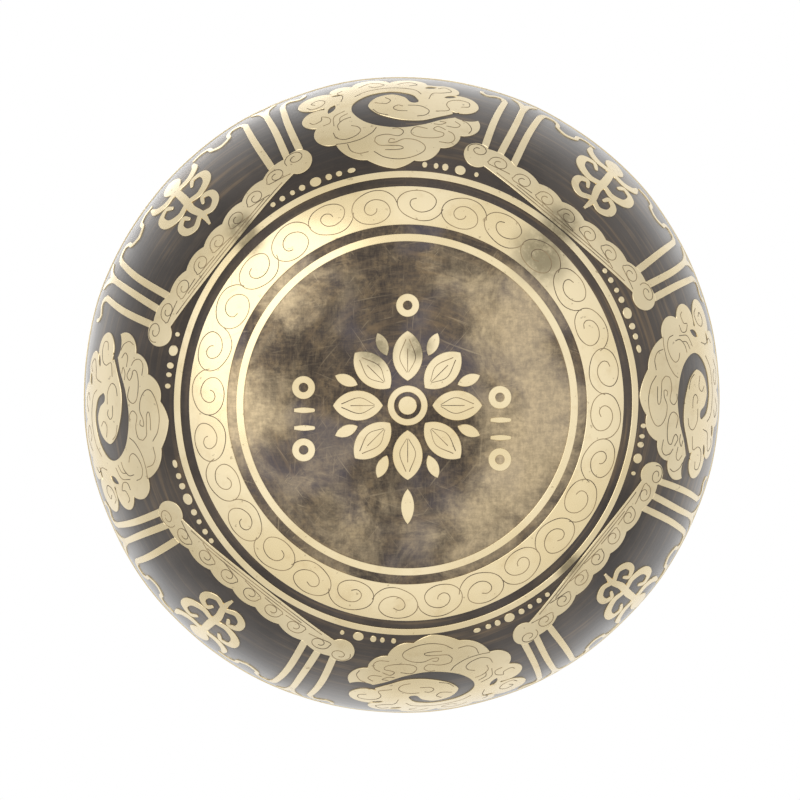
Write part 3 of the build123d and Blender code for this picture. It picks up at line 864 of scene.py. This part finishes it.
def lip():
    """Rounded lip on top of the wall."""
    radius, foot, _ = profile(LIP_CLIMB)
    thick = (RELIEF + RIM_WALL) * math.cos(LEAN)
    outer, inside_edge = float(radius), float(radius) - thick + 0.15
    top, curl = HEIGHT, 1.0
    angles = np.linspace(0, 1.57, 8)
    section = [(outer, float(foot) - 0.3)]
    section += [(outer - curl + curl * math.cos(a), top - curl + curl * math.sin(a)) for a in angles]
    section += [(inside_edge + curl - curl * math.sin(a), top - curl + curl * math.cos(a)) for a in angles]
    section += [(inside_edge, top - 2.6), (outer - 1.6, top - 2.6)]
    turns = np.arange(TURNS) * math.tau / TURNS
    columns = np.array(section)
    points = np.stack(
        [
            columns[None, :, 0] * np.sin(turns)[:, None],
            -columns[None, :, 0] * np.cos(turns)[:, None],
            np.broadcast_to(columns[None, :, 1], (TURNS, len(section))),
        ],
        -1,
    ).reshape(-1, 3)
    size = len(section)
    uv = np.stack([np.repeat(turns * GIRTH, size), np.tile(RIM_CLIMB + np.arange(size) * 0.4, TURNS)], -1)
    make_piece("rim_lip_metal", points, ring_faces(size), brass, ["rim_lip"], uv, 50)


# ---------------------------------------------------------------- relief


def spiral(x, y, width, height, turns, start=0.0, way=1, shrink=0.8, ease=0.9):
    """Places along a spiral from its outer turn inwards. ease over 1 keeps the outer turn wide."""
    count = max(8, round(turns * 14))
    out = []
    for i in range(count + 1):
        part = i / count
        reach = 1 - shrink * part**ease
        angle = start + way * math.tau * turns * part
        out.append((x + width * reach * math.cos(angle), y + height * reach * math.sin(angle)))
    return out


def scroll_lines(low, high, girth, count, offset):
    """Running scrolls round a band. Each starts against the next, and they take turns to leave inwards."""
    lines = []
    middle, pitch = (low + high) / 2, math.tau / count
    long, tall = pitch * girth / SCROLL_PITCH, (high - low) / SCROLL_HEIGHT
    for k in range(count):
        turn, way = offset + k * pitch, 1 if k % 2 else -1
        jitter = [rng.uniform(-1, 1) for _ in range(4)]
        grown, x, y = 1.0 + 0.05 * jitter[0], 0.25 * jitter[1], middle + 0.15 * jitter[2]
        kept = SCROLL[: len(SCROLL) - round(1 + jitter[3])]
        places = [(x + px * long, y + way * py * tall * grown) for px, py in kept]
        flat = smooth(places, 0.45)
        lines.append((turn + flat[:, 0] / girth, flat[:, 1]))
    return lines


def build_rings():
    for name, (low, high) in RINGS.items():
        revolved(name + "_metal", ring_section(low, high), brass, [name])
    for name, (girth, count, start) in BAND_SCROLLS.items():
        low, high = RINGS[name]
        scribes(name + "_scribes", scroll_lines(low, high, girth, count, start))


def base_ring_shape(x, y):
    return [ellipse(x, y, MARK_RING[1], MARK_RING[1])], [ellipse(x, y, MARK_RING[0], MARK_RING[0])]


def turned(loop, angle):
    c, s = math.cos(angle), math.sin(angle)
    return [(x * c - y * s, x * s + y * c) for x, y in loop]


def build_base():
    shapes = [([ellipse(0, 0, EYE_RADIUS, EYE_RADIUS)], [])]
    shapes.append(([ellipse(0, 0, EYE_RING[1], EYE_RING[1])], [ellipse(0, 0, EYE_RING[0], EYE_RING[0])]))
    lines = []
    for i in range(PETALS):
        angle = math.tau * i / PETALS
        foot, tip, half = PETAL
        shapes.append(([turned(leaf((0, foot), (0, tip), half), angle)], []))
        for bend in (-0.5, 0.0, 0.5):
            middle = (bend * half * 1.05, (foot + tip) / 2 - 0.4)
            vein = [(bend * 0.5, foot + 2.2), middle, (bend * 0.9, tip - (2.2 if bend else 4.6))]
            lines.append(base_line(turned(vein, angle)))
        foot, tip, half = SEPAL
        shapes.append(([turned(leaf((0, foot), (0, tip), half), angle + math.pi / PETALS)], []))
    shapes.append(base_ring_shape(0, BEAD_Y))
    foot, tip, half = TAIL
    shapes.append(([leaf((0, foot), (0, tip), half)], []))
    relief("base_rosette", shapes, None)
    scribes("base_rosette_scribes", lines, 0.2)
    for name, (x, y) in MARKS.items():
        shapes = [base_ring_shape(x, y + gap) for gap in MARK_RINGS]
        length, width = DASH
        for gap in MARK_DASHES:
            left, right = x - length / 2, x + length / 2
            ends = [(left, y + gap, width * 0.6), (x, y + gap, width), (right, y + gap, width * 0.7)]
            shapes.append(([ribbon(ends)], []))
        relief(f"base_mark_{name}", shapes, None)


def build_cloud(name, turn, shift):
    chart = Chart(turn, shift)
    outline = [p for places in CLOUD_EDGE for p in arc(*places)]
    cut = [ribbon(CLOUD_HOOK)] + [leaf(*eye) for eye in CLOUD_EYES]
    relief(f"cloud_{name}", [([outline], cut)], chart)
    scribes(f"cloud_{name}_scribes", [chart_line(chart, places) for places in CLOUD_SCRIBES])


def sag(x, middle, rise):
    return middle + rise * (x / BRACKET_HALF) ** 2


def bracket_loop():
    step = 2 * BRACKET_HALF / SCALLOPS
    loop = []
    for i in range(SCALLOPS):
        start, end = -BRACKET_HALF + i * step, -BRACKET_HALF + (i + 1) * step
        middle = (start + end) / 2
        crest = (middle, sag(middle, *BRACKET_TOP) + SCALLOP_RISE)
        loop += arc((start, sag(start, *BRACKET_TOP)), crest, (end, sag(end, *BRACKET_TOP)))
    high, low = sag(BRACKET_HALF, *BRACKET_TOP), sag(BRACKET_HALF, *BRACKET_FOOT)
    loop += arc((BRACKET_HALF, high), (BRACKET_HALF + BRACKET_END, (high + low) / 2), (BRACKET_HALF, low))
    loop += [(x, sag(x, *BRACKET_FOOT)) for x in np.linspace(BRACKET_HALF, -BRACKET_HALF, 90)[:-1]]
    loop += arc((-BRACKET_HALF, low), (-BRACKET_HALF - BRACKET_END, (high + low) / 2), (-BRACKET_HALF, high))
    return loop


def bracket_lines(chart):
    lines = []
    step = 2 * BRACKET_HALF / SCALLOPS
    for i in range(-1, SCALLOPS + 1):
        x = -BRACKET_HALF + (i + 0.5) * step + rng.uniform(-0.3, 0.3)
        x = max(-BRACKET_HALF - 2.6, min(BRACKET_HALF + 2.6, x))
        low, high = sag(x, *BRACKET_FOOT), sag(x, *BRACKET_TOP)
        places = spiral(x - 0.3, (low + high) / 2 + 0.7, 3.5, 2.7, 1.35, 3.6, -1, 0.72)
        places = [(x + 4.0, low + 2.1), *places] if -1 < i < SCALLOPS else places
        lines.append(chart_line(chart, places))
    for lift, reach in ((0.8, 0.86), (1.7, 0.62)):
        xs = np.linspace(-BRACKET_HALF * reach, BRACKET_HALF * reach, 24)
        lines.append(chart_line(chart, [(x, sag(x, *BRACKET_FOOT) + lift) for x in xs]))
    return lines


def moved(places, x, climb, way=1):
    return [(x + way * dx, climb + dy, width) for dx, dy, width in places]


def build_panel(name, turn, shift, tilt, stretch):
    chart = Chart(turn, shift, tilt, stretch)
    bracket = bracket_loop()
    relief(f"bracket_{name}", [([bracket], [])], chart)
    scribes(f"bracket_{name}_scribes", bracket_lines(chart))
    for side, posts in POSTS.items():
        strips = []
        for i, (foot, top) in enumerate(posts):
            bow = POST_BOW if i % 2 else -POST_BOW
            middle = ((foot + top) / 2 + bow, (POST_FOOT + POST_TOP) / 2, sum(POST_WIDTHS) / 2)
            ends = (foot, POST_FOOT, POST_WIDTHS[0]), (top, POST_TOP, POST_WIDTHS[1])
            strips.append([ribbon([ends[0], middle, ends[1]])])
        strips[1] += [ribbon(moved(CAPITAL, posts[1][1], POST_TOP, way)) for way in (-1, 1)]
        relief(f"posts_{name}_{side}", [(add, [bracket]) for add in strips], chart)
        inward = 1 if side == "left" else -1
        inner_top, outer_top = (posts[2][1], posts[0][1]) if inward > 0 else (posts[0][1], posts[2][1])
        cuts = [loop for add in strips for loop in add]
        curls = [moved(CURL_IN, inner_top, POST_TOP, inward), moved(CURL_OUT, outer_top, POST_TOP, -inward)]
        relief(f"curls_{name}_{side}", [([ribbon(curl)], cuts) for curl in curls], chart)
    foot, tip, half = SPRIG_BUD
    strokes = [ribbon(moved(SPRIG_STEM, SPRIG_X, 0)), leaf((SPRIG_X, foot), (SPRIG_X, tip), half)]
    strokes += [ribbon(moved(stroke, SPRIG_X, 0, way)) for way in (-1, 1) for stroke in SPRIG_STROKES]
    relief(f"sprig_{name}", [(strokes, [])], chart)
    for side, dots in DOTS.items():
        middle = dots[len(dots) // 2][0]
        row = Chart(turn + math.degrees(middle * stretch / GIRTH), stretch=stretch)
        shapes = [([ellipse(x - middle, DOT_CLIMB, w, h)], []) for x, w, h in dots]
        relief(f"dots_{name}_{side}", shapes, row)


bowl_wall()
lip()
build_rings()
build_base()
for cloud_name, cloud_place in CLOUDS.items():
    build_cloud(cloud_name, *cloud_place)
for panel_name, panel_place in PANELS.items():
    build_panel(panel_name, *panel_place)


# ---------------------------------------------------------------- floor, light and camera

HORIZON_LIGHT = 0.68  # the studio is this bright at the horizon, against 1 above and below


def floor():
    """Pale floor that shows only from above, so that the camera can look up at the base through it."""
    mesh = bpy.data.meshes.new("floor")
    half, drop = 0.9, -0.0006
    corners = [(x, y, drop) for x, y in ((-half, -half), (half, -half), (half, half), (-half, half))]
    mesh.from_pydata(corners, [], [(0, 1, 2, 3)])
    n = Nodes("pale_floor")
    away = n.add("VectorMath", operation="LENGTH")
    n.link(n.coords.outputs["Object"], away.inputs[0])
    grain = n.noise(n.coords.outputs["Object"], 60.0)
    color = n.mix(n.span(grain, 0.3, 0.7), (0.812, 0.803, 0.793), (0.822, 0.815, 0.805))
    n.link(color, n.shader.inputs["Base Color"])
    n.shader.inputs["Roughness"].default_value = 0.8
    facing = n.add("NewGeometry")
    fade = n.span(away.outputs["Value"], 0.22, 0.8)
    hidden = n.times(fade, facing.outputs["Backfacing"], "MAXIMUM")
    clear, blend = n.add("BsdfTransparent"), n.add("MixShader")
    n.link(hidden, blend.inputs[0])
    n.link(n.shader.outputs[0], blend.inputs[1])
    n.link(clear.outputs[0], blend.inputs[2])
    n.link(blend.outputs[0], n.tree.nodes["Material Output"].inputs["Surface"])
    mesh.materials.append(n.material)
    plane = bpy.data.objects.new("floor", mesh)
    bpy.context.scene.collection.objects.link(plane)
    for ray in ("visible_diffuse", "visible_glossy", "visible_transmission", "visible_shadow"):
        setattr(plane, ray, False)


def area_light(name, turn, slope, distance, size, power, color=(1.0, 1.0, 1.0)):
    """Soft light that faces the bowl. slope is its angle from straight below."""
    light = bpy.data.lights.new(name, "AREA")
    light.shape, light.size, light.energy, light.color = "DISK", size, power, color
    lamp = bpy.data.objects.new(name, light)
    turn, slope = math.radians(turn), math.radians(slope)
    toward = Vector((math.sin(slope) * math.sin(turn), -math.sin(slope) * math.cos(turn), -math.cos(slope)))
    lamp.location = toward * distance
    lamp.rotation_euler = (-toward).to_track_quat("-Z", "Y").to_euler()
    bpy.context.scene.collection.objects.link(lamp)


def studio():
    world = bpy.data.worlds.new("studio")
    bpy.context.scene.world = world
    world.use_nodes = True
    tree = world.node_tree
    sky, split = tree.nodes.new("ShaderNodeTexCoord"), tree.nodes.new("ShaderNodeSeparateXYZ")
    height, level = tree.nodes.new("ShaderNodeMath"), tree.nodes.new("ShaderNodeMapRange")
    height.operation, level.interpolation_type = "ABSOLUTE", "SMOOTHSTEP"
    for key, value in (("From Max", 0.75), ("To Min", HORIZON_LIGHT)):
        level.inputs[key].default_value = value
    tree.links.new(sky.outputs["Generated"], split.inputs[0])
    tree.links.new(split.outputs["Z"], height.inputs[0])
    tree.links.new(height.outputs[0], level.inputs["Value"])
    tree.links.new(level.outputs["Result"], tree.nodes["Background"].inputs["Strength"])
    tree.nodes["Background"].inputs["Color"].default_value = (1.0, 1.0, 1.0, 1.0)
    area_light("key_below", 300, 38, 0.9, 0.8, 1.7)
    area_light("key_above", 320, 158, 1.2, 0.9, 2.5)
    bpy.context.scene.view_settings.view_transform = "Standard"


def camera():
    """Looks straight up at the base, tilted a little, from where the photographer stood."""
    data = bpy.data.cameras.new("camera")
    data.lens, data.sensor_width = LENS, SENSOR
    data.clip_start = 0.05
    eye = bpy.data.objects.new("camera", data)
    tilt, heading = math.radians(EYE_TILT), math.radians(EYE_HEADING)
    side = Vector((math.sin(heading), -math.cos(heading), 0)) * math.sin(tilt)
    eye.location = (Vector((0, 0, -math.cos(tilt))) + side) * EYE_DISTANCE
    ahead = -eye.location.normalized()
    up = Vector((0, -1, 0))
    right = ahead.cross(up).normalized()
    up = right.cross(ahead)
    turned_to = Matrix((right, up, -ahead)).transposed()
    eye.rotation_euler = turned_to.to_euler()
    data.shift_x, data.shift_y = SHIFT
    bpy.context.scene.collection.objects.link(eye)
    bpy.context.scene.camera = eye


floor()
studio()
camera()
